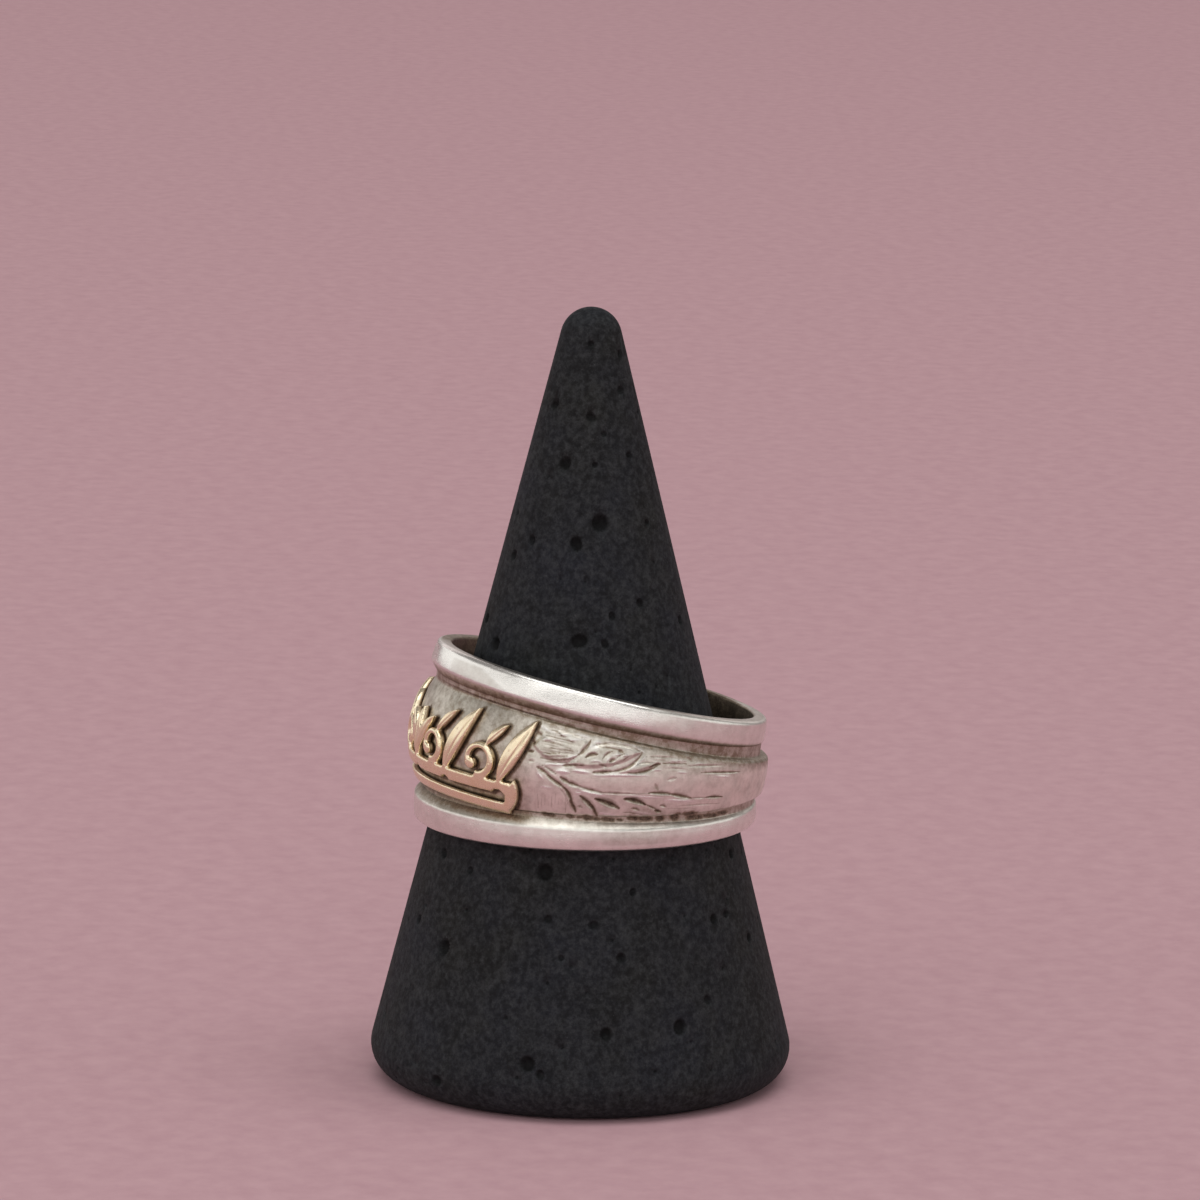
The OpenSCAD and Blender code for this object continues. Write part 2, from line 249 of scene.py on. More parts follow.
# Dark dashes along the strip's lower edge: angle, h, length, height
DASHES = [
    (58.6, -2.97, 4.4, 0.26), (66.0, -2.86, 2.8, 0.26), (69.2, -2.84, 2.0, 0.14), (71.8, -2.80, 3.8, 0.34),
    (75.2, -2.80, 2.4, 0.22), (78.8, -2.76, 4.4, 0.28), (82.8, -2.72, 2.2, 0.16), (87.2, -2.52, 3.6, 0.32),
    (91.6, -2.50, 4.6, 0.34), (97.0, -2.42, 3.2, 0.36), (102.6, -2.28, 3.2, 0.54), (107.8, -2.04, 5.0, 0.34),
    (111.4, -2.32, 6.6, 0.40), (118.4, -2.24, 7.4, 0.30), (125.0, -2.12, 5.4, 0.26),
]
# An engraved stroke: its width over the table's, the points along it, how it tapers, its narrowest half
STROKE_GROW, STROKE_POINTS, STROKE_TAPER, STROKE_LEAST = 1.3, 17, 0.38, 0.012
STROKE_REACH = 0.8
# The soft shade beside a stroke: its darkness, and where it begins and ends from the stroke's edge
HALO_DARK, HALO_FROM, HALO_TO = 0.36, -0.04, 0.17
# The fan of fine lines beside the scroll: where they meet, how many, their outer ends and their spacing
FAN_ROOT, FAN_LINES, FAN_LEFT, FAN_TOP, FAN_STEP = (68.6, 1.86), 13, 52.0, 2.60, 0.175
# The faint upright lines under the fan: the first one's angle, their spacing and number
COMB_FIRST, COMB_STEP, COMB_LINES = 53.6, 1.15, 10
# A dash of the lower edge: half its length and height over the table's, its darkness and its depth
DASH_LONG, DASH_HIGH, DASH_DARK, DASH_DEPTH = 0.70, 0.62, 0.90, 0.05
GLINT_RISE = 0.05


def stroke_cut(a, h, row):
    """Depth and darkness of one engraved stroke at angles a and heights h."""
    a0, h0, a1, h1, bow, width, widest, depth, dark = row
    reach = STROKE_REACH / DEG_MM + abs(bow) / DEG_MM
    near = (a > min(a0, a1) - reach) & (a < max(a0, a1) + reach)
    cut, shade = np.zeros_like(a), np.zeros_like(a)
    if not near.any():
        return cut, shade
    t = np.linspace(0, 1, STROKE_POINTS)
    length = math.hypot((a1 - a0) * DEG_MM, h1 - h0)
    side = np.array([-(h1 - h0), (a1 - a0) * DEG_MM]) / length
    bend = 4 * t * (1 - t) * bow
    sx = (a0 + (a1 - a0) * t) * DEG_MM + side[0] * bend
    sy = h0 + (h1 - h0) * t + side[1] * bend
    px, py = a[near] * DEG_MM, h[near]
    best = np.full(px.shape, FAR_OFF)
    place = np.zeros(px.shape)
    for k in range(len(t) - 1):
        ux, uy = sx[k + 1] - sx[k], sy[k + 1] - sy[k]
        w = np.clip(((px - sx[k]) * ux + (py - sy[k]) * uy) / (ux * ux + uy * uy), 0, 1)
        d = np.hypot(px - sx[k] - w * ux, py - sy[k] - w * uy)
        closer = d < best
        best = np.where(closer, d, best)
        place = np.where(closer, t[k] + w / (len(t) - 1), place)
    taper = np.where(place < widest, place / widest, (1 - place) / (1 - widest))
    half = np.maximum(0.5 * STROKE_GROW * width * np.clip(taper, 0, 1) ** STROKE_TAPER, STROKE_LEAST)
    share = np.clip(1 - best / half, 0, 1)
    full = depth * np.clip(taper * 1.6, 0, 1)
    cut[near] = full * share
    halo = HALO_DARK * np.clip(taper * 2, 0, 1) * (1 - smooth(best - half, HALO_FROM, HALO_TO))
    shade[near] = dark * np.maximum(smooth(share, 0.0, 0.75), halo)
    return cut, shade


def dashes(a, h):
    """How dark the row of dashes along the lower edge is."""
    shade = np.zeros_like(a)
    for angle, at, length, height in DASHES:
        along, across = (a - angle) / (DASH_LONG * length), (h - at) / (DASH_HIGH * height)
        d = np.sqrt(np.abs(along) ** 2.5 + across ** 2)
        d *= 1 + 0.10 * np.sin(2.1 * a + 7 * at)
        shade = np.maximum(shade, DASH_DARK * (1 - smooth(d, 0.40, 1.6)))
    return shade


def fan_and_comb():
    """Rows of strokes for the fan of fine lines and the upright lines under it."""
    rows = []
    for k in range(FAN_LINES):
        spread = (k - (FAN_LINES - 1) / 2) / FAN_LINES
        start = FAN_LEFT + 2.4 * abs(spread) + 1.3 * (k * 5 % 3)
        stop = FAN_ROOT[0] - 2.2 * (k * 7 % 4) - 3.0 * abs(spread)
        left, right = FAN_TOP - FAN_STEP * k - 0.04, FAN_ROOT[1] - 0.115 * k + 0.35
        width, dark = 0.11 + 0.03 * (k % 3), 0.45 + 0.15 * (k * 3 % 2)
        rows.append((start, left, stop, right, -0.30 * spread, width, 0.45, 0.06, dark))
    for k in range(COMB_LINES):
        x = COMB_FIRST + COMB_STEP * k
        top, foot = -1.30 - 0.20 * (k * 2 % 3), -2.75 + 0.1 * (k % 4)
        rows.append((x, top, x + 0.3, foot, 0.0, 0.07, 0.5, 0.02, 0.14 + 0.07 * (k * 3 % 4)))
    return rows


def side_angle(phi):
    """Degrees from the front, on either side."""
    return np.abs(np.degrees((phi + math.pi) % TAU - math.pi))


def carving(phi, h):
    """The strip's relief, darkness and painted highlights, at angles in radians and heights in mm."""
    a = side_angle(phi)
    rise, dark, bright = np.zeros_like(a), np.zeros_like(a), np.zeros_like(a)
    for angle, at, length, upper, lower, turn, height in LEAVES:
        dx, dy = (a - angle) * DEG_MM, h - at
        c, s = math.cos(math.radians(turn)), math.sin(math.radians(turn))
        x, y = dx * c + dy * s, dy * c - dx * s
        r_up = (length ** 2 / 4 + upper ** 2) / (2 * upper)
        r_low = (length ** 2 / 4 + lower ** 2) / (2 * lower)
        inside = np.minimum(r_up - np.hypot(x, y - upper + r_up), r_low - np.hypot(x, y - r_low + lower))
        rise = np.maximum(rise, height * smooth(inside, -0.03, 0.22))
    cut = np.zeros_like(a)
    for row in STROKES + fan_and_comb():
        c, s = stroke_cut(a, h, row)
        cut = np.maximum(cut, c)
        dark = np.maximum(dark, s)
    ridge = np.zeros_like(a)
    for row in GLINTS:
        c, s = stroke_cut(a, h, (*row, 0.5, GLINT_RISE, 1.0))
        ridge = np.maximum(ridge, c)
        bright = np.maximum(bright, s)
    notch = dashes(a, h)
    cut = np.maximum(cut, DASH_DEPTH * notch)
    dark = np.maximum(dark, notch)
    return rise + ridge * (1 - dark) - cut, dark, bright * (1 - dark)


def tilted(phi, rho, depth, side, lean=LEAN):
    """A point of a rail: radius and depth from the band's sloping edge."""
    c, s = math.cos(lean), math.sin(lean)
    x = rho * np.sin(phi)
    y = -rho * np.cos(phi) * c - depth * s
    z = rho * np.cos(phi) * s - depth * c + BAND_HALF
    return np.stack([x, y, side * z], -1)


def untilted(points, side, lean):
    """Angle, radius and depth of a rail's point."""
    c, s = math.cos(lean), math.sin(lean)
    x, y, z = points[:, 0], points[:, 1], side * points[:, 2] - BAND_HALF
    along = -y * c + z * s
    return np.arctan2(x, along), np.hypot(x, along), -y * s - z * c


def upright(phi, r, z):
    return np.stack([r * np.sin(phi), -r * np.cos(phi), z + 0 * phi], -1)


def solve(test, low, high):
    """The place between two arrays where a test turns from true to false."""
    for _ in range(24):
        mid = (low + high) / 2
        yes = test(mid)
        low, high = np.where(yes, mid, low), np.where(yes, high, mid)
    return low


# The band's skin in mm: rounding at the bore's edge and between a rail's face and side
BORE_FILLET, SIDE_EASE = 0.16, 0.15
# How far a rail's face swells, and how far its outer edge leans in, above and below
UPPER_FACE, LOWER_FACE = (0.02, 0.10), (0.03, 0.0)
# Rounding of the strip's edges, how far they lie inside its crown, and the rows of the skin from there
STRIP_ROUND_TOP, STRIP_ROUND_LOW, STRIP_EDGE_IN = 0.24, 0.12, 0.15
STRIP_EDGE_ROWS, STRIP_INSET, STRIP_ROWS = (0, 0.004, 0.03, 0.08), 0.13, 76
# Columns of the skin: first and last angle, and the step between
COLUMNS = [(-180, -124, 1.3), (-124, -48, 0.5), (-48, 48, 0.55), (48, 124, 0.28), (124, 180, 1.3)]
# Darkness painted into the silver, from 0 to 1: painted shade in the bore, on its inner wall, on the rails'
# rounded shoulders and on their faces
BORE_DARK, WALL_DARK, RIM_PAINTED_SHADE, FACE_PAINTED_SHADE = 0.80, 0.82, 0.36, 0.24
# Painted shade with tarnish on the groove floors, and painted shade in the lower groove under the scroll
GROOVE_DARK, LOW_GROOVE_DARK, HIDDEN_DARK = 0.51, 0.46, 0.24
# Painted shade with tarnish along the strip's edges, tarnish on its front, painted shade with some stain
# over its upper half, a stain low on the strip, and tarnish with a painted shadow round the scroll
TOP_DARK, LOW_DARK, FRONT_DARK, UPPER_DARK, BACK_DARK, ROUND_SCROLL_DARK = 0.60, 0.5, 0.36, 0.25, 0.30, 0.86
# The dark round the scroll, tarnish with a painted shadow, lies this far round and down from the gold, in mm
GRIME_AND_SHADOW_SHIFT = (0.04, -0.05)


def far_side(phi, start, full, fade, end):
    """1 on the side away from the camera, between these degrees from the front, easing in and out."""
    turn = -np.degrees(phi)
    return smooth(turn, start, full) * (1 - smooth(turn, fade, end))


def rail_section(phi, side):
    """Points of one rail from the bore's edge out and down to the groove, with dark and polish values."""
    upper = side > 0
    a = side_angle(phi)
    bulge, back = UPPER_FACE if upper else LOWER_FACE
    width, lean = (RAIL_W, LEAN) if upper else (LOW_RAIL_W, LOW_LEAN)
    strip, strip_tan = (STRIP_TOP, SLOPE_TAN) if upper else (STRIP_LOW, LOW_TAN)
    # Less polish roughens a rail and also darkens its colour: painted shade on the upper rail past 80
    # degrees and over the whole lower rail
    shine = 0.95 - 0.33 * smooth(a, 80, 96) if upper else 0.68 + 0 * phi
    far = far_side(phi, 6, 24, 160, 174)
    hidden = 1 - smooth(a, 48, 56)
    rows, dark, polish = [], [], []

    def add(points, d, p):
        rows.append(points)
        dark.append(d + 0 * phi)
        polish.append(p + 0 * phi)

    # Painted shade in the bore, lighter towards its rounded edge except on the far side
    for degrees in (0, 30, 60, 90):
        t = math.radians(degrees)
        r = BORE_R + BORE_FILLET * (1 - math.cos(t))
        z = BAND_HALF + r * np.cos(phi) * SLOPE_TAN - BORE_FILLET * (1 - math.sin(t))
        add(upright(phi, r, side * z), BORE_DARK - 0.005 * degrees * (1 - 0.8 * far), 0.8)
    shoulder = RAIL_R - RAIL_ROUND
    # The rail's rounded shoulder: painted shade on its inner part that dulls the highlight there, deeper on
    # the far side
    for t in np.radians([0, 18, 36, 54, 72, 90]):
        rim_shade = (RIM_PAINTED_SHADE + 0.34 * far) * max(0.0, 1 - t / 0.7)
        rho = shoulder - back + RAIL_ROUND * math.sin(t)
        add(tilted(phi, rho, RAIL_ROUND * (1 - math.cos(t)), side), rim_shade, shine)

    def above_slope(depth):
        _, rho, d = untilted(tilted(phi, RAIL_R, depth, side), side, lean)
        return d < width + (RAIL_R - rho) * SIDE_TAN

    end = solve(above_slope, np.full_like(phi, RAIL_ROUND), np.full_like(phi, 2.4))
    # The rail's face: painted shade that dims its reflection a little round from the front on the upper rail
    # and round the middle of the lower rail
    for share in (0.2, 0.4, 0.6, 0.8, 1.0):
        depth = RAIL_ROUND + (end - SIDE_EASE - RAIL_ROUND) * share
        if upper:
            face_shade = FACE_PAINTED_SHADE * smooth(a, 4, 16) * (1 - smooth(a - 14 * share, 23, 27))
        else:
            face_shade = FACE_PAINTED_SHADE * smooth(a, 66, 86) * (1 - smooth(a, 92, 116))
        rho = RAIL_R + bulge * math.sin(math.pi * share) - back * (1 - share)
        add(tilted(phi, rho, depth, side), face_shade, shine)
    edge_point = tilted(phi, RAIL_R, end, side)
    turn, rho, _ = untilted(edge_point, side, lean)

    def slope_point(run):
        return tilted(turn, rho - run, width + (RAIL_R - rho + run) * SIDE_TAN, side, lean)

    def outside(run):
        p = slope_point(run)
        return np.hypot(p[:, 0], p[:, 1]) > GROOVE_R + 0.02

    foot_run = solve(outside, np.zeros_like(phi), np.full_like(phi, 0.9))
    first = 0.5 * np.minimum(SIDE_EASE, foot_run)
    start, stop = rows[-1], slope_point(first)
    # Painted shade on the rails' sloping sides: the upper one faces down, the lower one lies under the
    # scroll at the front; both darken towards the groove
    slope_dark = 0.5 + 0 * phi if upper else 0.15 + 0.45 * hidden
    for t in (0.25, 0.5, 0.75):
        point = (1 - t) ** 2 * start + 2 * t * (1 - t) * edge_point + t * t * stop
        add(point, 0.6 * slope_dark * t, shine - 0.2 * t)
    for share in (0.0, 0.4, 0.75, 1.0):
        shade = slope_dark * (0.6 + 0.4 * share) + (0.30 * share if upper else 0.25 * share)
        add(slope_point(first + (foot_run - first) * share), shade, 0.42)
    foot = rows[-1][:, 2]
    edge = side * (strip + GROOVE_R * np.cos(phi) * strip_tan)
    for share in np.linspace(0.1, 0.9, 3) if upper else np.linspace(0.08, 0.94, 9):
        lift = 0.012 * math.cos(math.pi * share) ** 2
        h = foot + (edge - foot) * share
        # Painted shade with tarnish on the groove floors, unevenly along the upper one and deeper under the
        # scroll in the lower one
        if upper:
            shade = GROOVE_DARK + 0.06 * np.sin(9 * phi + 2) + 0.05 * np.sin(31 * phi)
        else:
            shade = np.maximum(LOW_GROOVE_DARK + HIDDEN_DARK * hidden, dashes(a, h))
        add(upright(phi, GROOVE_R + lift, h), shade, 0.3)
    return rows, dark, polish


def strip_shade(phi, h, top, low):
    """Darkness of the strip: painted shade with tarnish at its edges, tarnish at its front, painted shade
    with some stain over its upper half, and its stains.
    """
    front = 1 - smooth(side_angle(phi), 46, 56)
    behind = smooth(side_angle(phi), 88, 104)
    from_top = TOP_DARK * (1 - smooth(top - h, 0.0, 0.62 + 0.35 * behind))
    from_low = LOW_DARK * (1 - smooth(h - low, 0.0, 0.16))
    stain = BACK_DARK * smooth(side_angle(phi), 76, 92) * (1 - smooth(h, -2.1, -1.2))
    # Painted shade that evens out the upper half's brighter reflection, with some stain
    upper = UPPER_DARK * smooth(h, 0.1, 0.9)
    return np.maximum.reduce([from_top, from_low, FRONT_DARK * front, upper, stain])


def silver_band(scroll_points):
    """The band's skin. The silver darkens round the scroll with tarnish and a painted shadow; the scroll's
    points are given as angle and height.
    """
    runs = [np.linspace(a, b, int(round((b - a) / step)), endpoint=False) for a, b, step in COLUMNS]
    phi = np.radians(np.concatenate(runs))
    rows, dark, polish = rail_section(phi, 1)
    r_edge = CROWN_R - STRIP_EDGE_IN
    top = STRIP_TOP + r_edge * np.cos(phi) * SLOPE_TAN
    low = -(STRIP_LOW + r_edge * np.cos(phi) * LOW_TAN)
    levels = [top - d for d in STRIP_EDGE_ROWS]
    between = low - top + 2 * STRIP_INSET
    levels += [(top - STRIP_INSET) + between * s for s in np.linspace(0, 1, STRIP_ROWS)]
    levels += [low + d for d in STRIP_EDGE_ROWS[::-1]]
    tree = KDTree(len(scroll_points))
    for k, (x, y) in enumerate(scroll_points):
        tree.insert((x, y, 0), k)
    tree.balance()
    front = 1 - smooth(side_angle(phi), 46, 56)
    for k, h in enumerate(levels):
        gap = np.minimum(top - h, h - low)
        round_w = np.where(top - h < h - low, STRIP_ROUND_TOP, STRIP_ROUND_LOW)
        drop = round_w * (1 - np.sqrt(np.clip(1 - (1 - np.clip(gap / round_w, 0, 1)) ** 2, 0, 1)))
        relief, shade, bright = carving(phi, h)
        r = strip_r(phi, h) - drop + relief * smooth(gap, 0.0, 0.06)
        if k in (0, len(levels) - 1):
            r = np.minimum(r, GROOVE_R)
        # never below the groove's floor, with a soft turn
        over = r - GROOVE_R
        r = GROOVE_R + 0.5 * (over + np.sqrt(over * over + 0.02 ** 2))
        shade = np.maximum(shade, strip_shade(phi, h, top, low))
        # Tarnish with a painted shadow round the scroll, shifted round and down from the gold
        for i in np.nonzero(side_angle(phi) < 54)[0]:
            spot = (math.degrees(phi[i]) * DEG_MM - GRIME_AND_SHADOW_SHIFT[0], h[i] - GRIME_AND_SHADOW_SHIFT[1], 0)
            away = tree.find(spot)[2]
            shade[i] = max(shade[i], ROUND_SCROLL_DARK * (1 - float(smooth(away, 0.06, 0.30))))
        rows.append(upright(phi, r, h))
        dark.append(np.clip(shade, 0, 1))
        # bright, the glints' painted highlights, raises the polish and so lightens the colour as well as
        # smoothing it
        polish.append(np.clip(0.30 * (1 - 0.5 * front) + 0.7 * bright, 0, 1))
    low_rows, low_dark, low_polish = rail_section(phi, -1)
    rows += low_rows[::-1]
    dark += low_dark[::-1]
    polish += low_polish[::-1]
    top_row, bottom_row = rows[0], low_rows[0]
    # The bore's inner wall: painted shade, a little lighter on part of the far side
    for share in (0.25, 0.5, 0.75):
        rows.append(bottom_row + (top_row - bottom_row) * share)
        dark.append(WALL_DARK - 0.22 * far_side(phi, 10, 30, 60, 90))
        polish.append(0.6 + 0 * phi)
    points = np.array(rows)
    count, cols = points.shape[:2]
    verts = seated(points.reshape(-1, 3))
    faces = grid_faces(count, cols)[:, ::-1]
    return mesh_object("band", verts, faces, "silver_band",
                       {"dark": np.array(dark).ravel(), "polish": np.array(polish).ravel()})


# The scroll

# Leaves with a midrib: angle, h, length, turn
RIBS = [
    (0, 0.12, 3.5, 0), (4.9, 0.30, 3.0, -34), (24.0, 0.62, 5.1, -26), (46.2, 0.62, 4.9, -25),
    (16.6, 1.55, 2.2, -40), (39.0, 1.50, 2.0, -40),
]
VOXEL, EASE_TURNS, SCROLL_MID_R = 0.058, 3, 11.7
# How far in from a side wall the face swells, its height at the wall, and a rib's half width and depth
SHOULDER, WALL_SHARE, RIB_HALF, RIB_DEPTH = 0.24, 0.72, 0.085, 0.14


def gold_scroll():
    """The solid's own form, voxelled finely so that its edges round and its faces can swell."""
    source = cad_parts["gold_scroll"]
    mesh = source.data.copy()
    mesh.transform(Matrix.Scale(1 / MM, 4))
    work = bpy.data.objects.new("scroll_work", mesh)
    bpy.context.scene.collection.objects.link(work)
    remesh = work.modifiers.new("voxels", "REMESH")
    remesh.mode = "VOXEL"
    remesh.voxel_size = VOXEL
    ease = work.modifiers.new("ease", "SMOOTH")
    ease.factor, ease.iterations = 0.5, EASE_TURNS
    done = bpy.data.meshes.new_from_object(work.evaluated_get(bpy.context.evaluated_depsgraph_get()))
    bpy.data.objects.remove(work)
    n = len(done.vertices)
    co, no = np.empty(n * 3), np.empty(n * 3)
    done.vertices.foreach_get("co", co)
    done.vertices.foreach_get("normal", no)
    faces = [tuple(p.vertices) for p in done.polygons]
    bpy.data.meshes.remove(done)
    ring = unseated(co.reshape(-1, 3) * MM)
    tip = unseated((co.reshape(-1, 3) + no.reshape(-1, 3)) * MM)
    normal = tip - ring
    phi = np.arctan2(ring[:, 0], -ring[:, 1])
    r = np.hypot(ring[:, 0], ring[:, 1])
    h = ring[:, 2]
    outward = normal[:, 0] * np.sin(phi) - normal[:, 1] * np.cos(phi)
    base = strip_r(phi, np.clip(h, -4, 4)) + SCROLL_GAP
    level = (r - base) / (SCROLL_T - SCROLL_GAP)
    # distance from the nearest side wall
    wall = np.nonzero((np.abs(outward) < 0.6) & (level > 0.2))[0]
    tree = KDTree(len(wall))
    flat = np.stack([phi * SCROLL_MID_R, h, 0 * h], 1)
    for k, i in enumerate(wall):
        tree.insert(flat[i], k)
    tree.balance()
    away = np.array([tree.find(p)[2] for p in flat])
    dome = np.sqrt(np.clip(1 - (1 - np.clip(away / SHOULDER, 0, 1)) ** 2, 0, 1))
    swell = WALL_SHARE + (1 - WALL_SHARE) * dome
    rib = np.zeros(n)
    a = np.degrees(phi)
    for angle, at, length, turn in RIBS:
        for side in (1, -1):
            dx, dy = (a * side - angle) * DEG_MM, h - at
            c, s = math.cos(math.radians(90 + turn)), math.sin(math.radians(90 + turn))
            x, y = dx * c + dy * s, dy * c - dx * s
            run = np.clip(1 - np.abs(x) / (0.42 * length), 0, 1)
            rib = np.maximum(rib, np.clip(1 - np.abs(y) / RIB_HALF, 0, 1) * np.clip(run * 4, 0, 1))
    level = np.clip(level, -0.02, 1.0) * swell - RIB_DEPTH * rib * (level > 0.5)
    new_r = base + level * (SCROLL_T - SCROLL_GAP)
    new_r = np.where(r < base + 0.03, np.maximum(r, base - 0.01), new_r)
    verts = seated(upright(phi, new_r, h))
    # Painted shade low on the scroll's sides, next to the silver, and in the midribs
    dark = np.clip(1 - smooth(level, 0.12, 0.55) + 0.45 * rib, 0, 1)
    low = level < 0.5
    footprint = np.stack([np.degrees(phi[low]) * DEG_MM, h[low]], 1)
    return mesh_object("scroll", verts, faces, "gold_scroll", {"dark": dark}), footprint


# The cone

# Pits seen in the photograph: pixel x and y, radius in mm
PITS = [
    (591, 344, 0.22), (620, 354, 0.26), (621, 390, 0.30), (555, 404, 0.34), (591, 417, 0.32),
    (604, 434, 0.2), (629, 455, 0.22), (565, 463, 0.42), (595, 465, 0.2), (600, 523, 0.56),
    (647, 523, 0.24), (532, 540, 0.3), (576, 544, 0.44), (514, 555, 0.32), (640, 603, 0.28),
    (612, 616, 0.26), (487, 618, 0.34), (680, 620, 0.3), (579, 641, 0.5), (495, 644, 0.46),
    (605, 644, 0.28), (444, 853, 0.34), (731, 854, 0.3), (545, 872, 0.52), (633, 892, 0.24),
    (726, 914, 0.26), (714, 919, 0.34), (419, 919, 0.3), (548, 919, 0.26), (593, 925, 0.28),
    (749, 938, 0.3), (444, 947, 0.5), (561, 958, 0.2), (621, 958, 0.3), (708, 1000, 0.3),
    (680, 1027, 0.46), (606, 1034, 0.4), (527, 1064, 0.5), (435, 1081, 0.36), (470, 870, 0.24),
    (690, 1018, 0.3), (540, 1075, 0.3),
]
# Pits outside the camera's view and tiny ones all round: how many, and their sizes
HIDDEN_PITS, HIDDEN_SIZES = 90, [0.2, 0.26, 0.32, 0.42, 0.52]
TINY_PITS, TINY_LEAST, TINY_MOST = 150, 0.09, 0.16
# Rings of points round a pit, as shares of its radius, and the points in a ring
PIT_RINGS, TINY_RINGS = ((0.3, 0.62, 0.85, 1.0, 1.22), 14), ((0.55, 1.0), 7)
PIT_DEPTH, PIT_SEED = 0.85, 11
# The unrolled wall: its width for a radian, and its columns
UNROLLED, WALL_COLUMNS = 10.0, 120


def pixel_on_cone(x, y):
    """Azimuth and height where a pixel's line of sight meets the cone's straight wall."""
    right, up, back, place = camera_axes()
    scale = VIEW_LENS / 36 * FRAME_PX
    ray = right * (x - FRAME_PX / 2) / scale - up * (y - FRAME_PX / 2) / scale - back
    a = ray[0] ** 2 + ray[1] ** 2 - (WALL_TAN * ray[2]) ** 2
    reach = CONE_R - WALL_TAN * place[2]
    b = place[0] * ray[0] + place[1] * ray[1] + WALL_TAN * ray[2] * reach
    c = place[0] ** 2 + place[1] ** 2 - reach ** 2
    root = b * b - a * c
    if root < 0:
        return None
    hit = place + ray * (-b - math.sqrt(root)) / a
    return math.atan2(hit[1], hit[0]), hit[2]


def cone_profile():
    """Radius and height from the middle of the foot up to the tip."""
    foot_x = CONE_R - FOOT_R * (1 + math.sin(WALL_ANGLE)) / math.cos(WALL_ANGLE)
    points = []
    for t in np.radians(np.linspace(-90, math.degrees(WALL_ANGLE), 12)):
        points.append((foot_x + FOOT_R * math.cos(t), FOOT_R + FOOT_R * math.sin(t)))
    low, high = points[-1], (TIP_R * math.cos(WALL_ANGLE), TIP_Z + TIP_R * math.sin(WALL_ANGLE))
    for s in np.linspace(0, 1, 46)[1:-1]:
        points.append((low[0] + (high[0] - low[0]) * s, low[1] + (high[1] - low[1]) * s))
    for t in np.radians(np.linspace(math.degrees(WALL_ANGLE), 88, 14)):
        points.append((TIP_R * math.cos(t), TIP_Z + TIP_R * math.sin(t)))
    return np.array(points)


def scattered(rng, view, profile, run):
    """The cone's pits, each with azimuth, place along the outline and radius: large ones, then tiny ones."""
    pits, tiny = [], []
    for x, y, r in PITS:
        found = pixel_on_cone(x, y)
        if found:
            pits.append((found[0], np.interp(found[1], profile[:, 1], run), r))
    for _ in range(HIDDEN_PITS):
        azimuth = view + math.radians(rng.uniform(95, 265))
        place = run[-1] * (1 - math.sqrt(rng.uniform(0.02, 0.97)))
        pits.append((azimuth, place, rng.choice(HIDDEN_SIZES)))
    for _ in range(TINY_PITS):
        azimuth = rng.uniform(0, TAU)
        place = run[-1] * (1 - math.sqrt(rng.uniform(0.003, 0.98)))
        tiny.append((azimuth, place, rng.uniform(TINY_LEAST, TINY_MOST)))
    return pits, tiny


def pit_points(rng, groups, seam_at, profile, run):
    """Points of the pits on the unrolled wall, which pit and share each belongs to, and the pits kept."""
    kept, owners, placed = [], [], []
    for group, (shares, around) in groups:
        for azimuth, v, r in group:
            azimuth = (azimuth - seam_at) % TAU
            local = float(np.interp(v, run, profile[:, 0]))
            margin = 1.4 * r / local
            if azimuth < margin or azimuth > TAU - margin or v < 1.5 * r + 1.9 or v > run[-1] - 1.6:
                continue
            if any(math.hypot((azimuth - p[0]) * local, v - p[1]) < 1.35 * (r + p[2]) for p in placed):
                continue
            k = len(placed)
            placed.append((azimuth, v, r, local))
            kept.append((azimuth * UNROLLED, v))
            owners.append((k, 0.0))
            lean, oval = rng.uniform(0, TAU), rng.uniform(0.0, 0.16)
            for ring, share in enumerate(shares):
                for j in range(around):
                    t = TAU * (j + 0.5 * (ring % 2)) / around
                    grow = share * r * (1 + oval * math.cos(2 * t + lean))
                    kept.append(((azimuth + grow * math.cos(t) / local) * UNROLLED, v + grow * math.sin(t)))
                    owners.append((k, share))
    return kept, owners, placed


